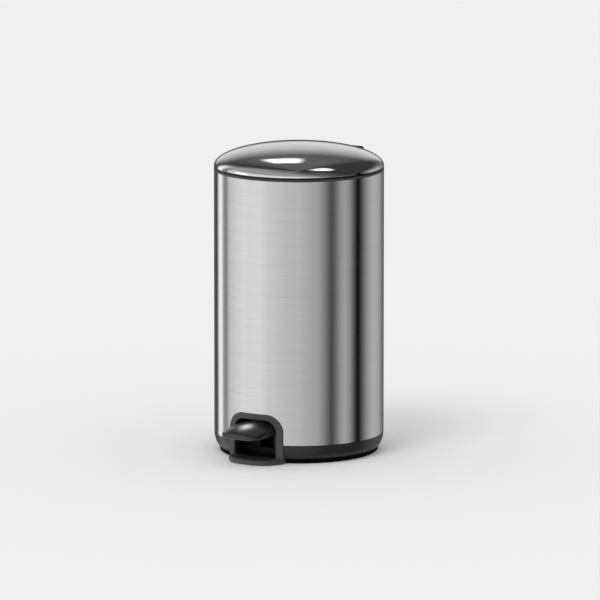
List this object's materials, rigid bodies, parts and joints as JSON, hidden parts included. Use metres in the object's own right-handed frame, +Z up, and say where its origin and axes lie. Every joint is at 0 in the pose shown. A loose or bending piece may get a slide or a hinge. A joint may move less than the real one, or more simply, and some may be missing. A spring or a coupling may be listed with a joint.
{
  "type": "pedal trash can",
  "caption": "Round steel pedal bin with a domed lid, a moulded base, a hung inner bucket and a foot pedal that lifts the lid through a lever, push rod and crank.",
  "frame": {"origin": "centre of the can's round foot, on the floor", "axes": "+Z up along the can's axis, -Y to the front where the pedal is, +X to the right for a person who looks at the front"},
  "size_m": [0.25, 0.3121, 0.4564],
  "materials": {
    "can_steel": "brushed round the can",
    "lid_steel": "polished",
    "base_plastic": "fine satin",
    "collar_plastic": "satin",
    "housing_plastic": "satin",
    "pedal_plastic": "smooth",
    "lid_plastic": "satin",
    "bracket_plastic": "satin",
    "rubber": "matt",
    "zinc_steel": "zinc plated",
    "bush_plastic": "acetal, natural",
    "bucket_plastic": "satin"
  },
  "bodies": {
    "bin": {"body_shell": "can_steel", "top_collar": "collar_plastic", "base": "base_plastic", "foot_ring": "rubber", "pedal_housing": "housing_plastic", "housing_screws": "zinc_steel", "pivot_pin": "zinc_steel", "pivot_clips": "zinc_steel", "hinge_bracket": "bracket_plastic", "hinge_backing_plate": "zinc_steel", "bracket_screws": "zinc_steel", "hinge_pin": "zinc_steel", "rod_guide_lower": "zinc_steel", "rod_guide_upper": "zinc_steel"},
    "pedal": {"pedal": "pedal_plastic", "pedal_lever": "zinc_steel", "lever_bushes": "bush_plastic", "pedal_screws": "zinc_steel"},
    "rod": {"push_rod": "zinc_steel", "rod_clevis": "bush_plastic", "clevis_pin": "zinc_steel", "rod_foot": "bush_plastic", "foot_pin": "zinc_steel"},
    "lid": {"lid_dome": "lid_steel", "lid_ring": "lid_plastic", "lid_bumpers": "rubber", "lid_hinge_block": "lid_plastic", "hinge_block_screws": "zinc_steel"},
    "bucket": {"bucket": "bucket_plastic"}
  },
  "joints": [
    {"name": "lid_hinge", "type": "hinge", "parent": "bin", "child": "lid", "pos_m": [0, 0.1325, 0.43], "axis": [-1, 0, 0], "range_deg": [0, 80]},
    {"name": "rod_slide", "type": "slide", "parent": "bin", "child": "rod", "axis": [0, 0, 1], "range_m": [0, 0.03065]},
    {"name": "pedal_pivot", "type": "hinge", "parent": "bin", "child": "pedal", "pos_m": [0, -0.035, 0.03], "axis": [1, 0, 0], "range_deg": [0, 11.79]},
    {"name": "bucket_lift", "type": "slide", "parent": "bin", "child": "bucket", "axis": [0, 0, 1], "range_m": [0, 0.012]}
  ],
  "couplings": [
    {"joint": "rod_slide", "follows": "lid_hinge", "m_per_rad": 0.021945},
    {"joint": "pedal_pivot", "follows": "lid_hinge", "ratio": 0.14726}
  ]
}
